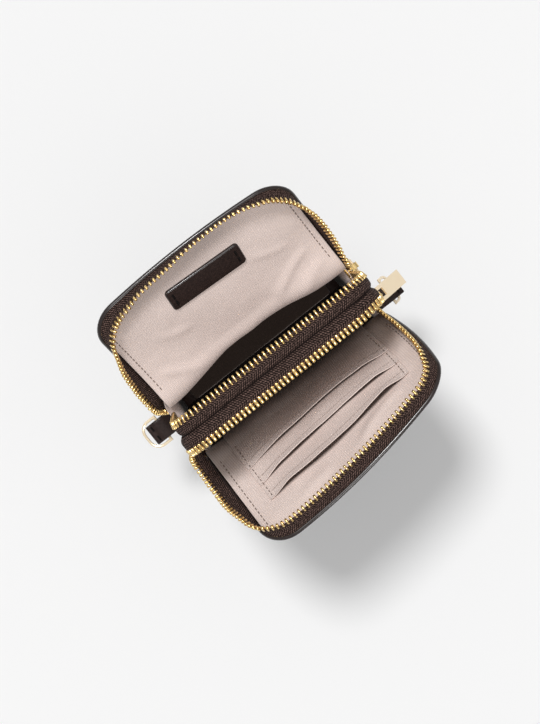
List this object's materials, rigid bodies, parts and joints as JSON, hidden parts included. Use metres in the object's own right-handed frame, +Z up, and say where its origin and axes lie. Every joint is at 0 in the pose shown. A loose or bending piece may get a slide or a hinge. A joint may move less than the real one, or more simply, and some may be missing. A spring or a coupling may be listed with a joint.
{
  "type": "phone pouch",
  "caption": "Upright leather phone pouch with back-to-back zip-around compartments, fold-out flaps, card slots, flat pullers and side strap rings, stored unzipped.",
  "frame": {"origin": "middle of the flat base, where the pouch stands", "axes": "+X along the width towards the zip sliders, +Y towards the rear flap, +Z up"},
  "size_m": [0.1584, 0.1426, 0.1805],
  "materials": {
    "leather": "dark brown grained leather",
    "lining": "blush-beige twill",
    "zip_tape": "dark brown woven tape",
    "zip_metal": "bright gold plate",
    "pale_gold": "polished pale gold plate",
    "board": "grey board"
  },
  "bodies": {
    "pouch_body": {"base_gusset": "leather", "rear_panel": "leather", "front_panel": "leather", "rear_panel_piping": "leather", "front_panel_piping": "leather", "rear_lining": "lining", "front_lining": "lining", "rear_base_board": "board", "front_base_board": "board", "divider_board": "board", "divider_rear_facing": "lining", "divider_front_facing": "lining", "divider_rear_tape": "zip_tape", "divider_front_tape": "zip_tape", "divider_rear_teeth": "zip_metal", "divider_front_teeth": "zip_metal", "rear_tail_tapes": "zip_tape", "front_tail_tapes": "zip_tape", "rear_tail_teeth": "zip_metal", "front_tail_teeth": "zip_metal", "rear_zip_stops": "zip_metal", "front_zip_stops": "zip_metal", "left_ring_tab": "leather", "right_ring_tab": "leather", "card_pocket_foot": "lining"},
    "rear_flap": {"rear_flap_leather": "leather", "rear_flap_piping": "leather", "rear_flap_lining": "lining", "rear_flap_tape": "zip_tape", "rear_flap_teeth": "zip_metal", "label_plate": "leather"},
    "front_flap": {"front_flap_leather": "leather", "front_flap_piping": "leather", "front_flap_lining": "lining", "front_flap_tape": "zip_tape", "front_flap_teeth": "zip_metal", "card_pocket_upper": "lining", "card_pocket_middle": "lining", "card_pocket_lower": "lining"},
    "rear_slider": {"rear_slider": "zip_metal", "rear_slider_crown": "zip_metal"},
    "front_slider": {"front_slider": "zip_metal", "front_slider_crown": "zip_metal"},
    "rear_puller": {"rear_puller": "pale_gold"},
    "front_puller": {"front_puller": "pale_gold"},
    "left_ring": {"left_ring": "pale_gold"},
    "right_ring": {"right_ring": "pale_gold"}
  },
  "joints": [
    {"name": "rear_flap_fold", "type": "hinge", "parent": "pouch_body", "child": "rear_flap", "pos_m": [0, 0.0203, 0.11], "axis": [1, 0, 0], "range_deg": [0, 48]},
    {"name": "front_flap_fold", "type": "hinge", "parent": "pouch_body", "child": "front_flap", "pos_m": [0, -0.0203, 0.11], "axis": [-1, 0, 0], "range_deg": [0, 44]},
    {"name": "rear_slider_run", "type": "slide", "parent": "pouch_body", "child": "rear_slider", "axis": [0, 0, 1], "range_m": [0, 0.057]},
    {"name": "front_slider_run", "type": "slide", "parent": "pouch_body", "child": "front_slider", "axis": [0, 0, 1], "range_m": [0, 0.057]},
    {"name": "rear_puller_swing", "type": "hinge", "parent": "rear_slider", "child": "rear_puller", "pos_m": [0.0618, 0.00985, 0.1007], "axis": [0, -1, 0], "range_deg": [0, 175]},
    {"name": "front_puller_swing", "type": "hinge", "parent": "front_slider", "child": "front_puller", "pos_m": [0.0618, -0.00985, 0.1007], "axis": [0, -1, 0], "range_deg": [-60, 115]},
    {"name": "left_ring_swing", "type": "hinge", "parent": "pouch_body", "child": "left_ring", "pos_m": [-0.069, 0.0045, 0.074], "axis": [0, 1, 0], "range_deg": [-78, 100]},
    {"name": "right_ring_swing", "type": "hinge", "parent": "pouch_body", "child": "right_ring", "pos_m": [0.069, -0.013, 0.074], "axis": [0, -1, 0], "range_deg": [-68, 72]}
  ]
}
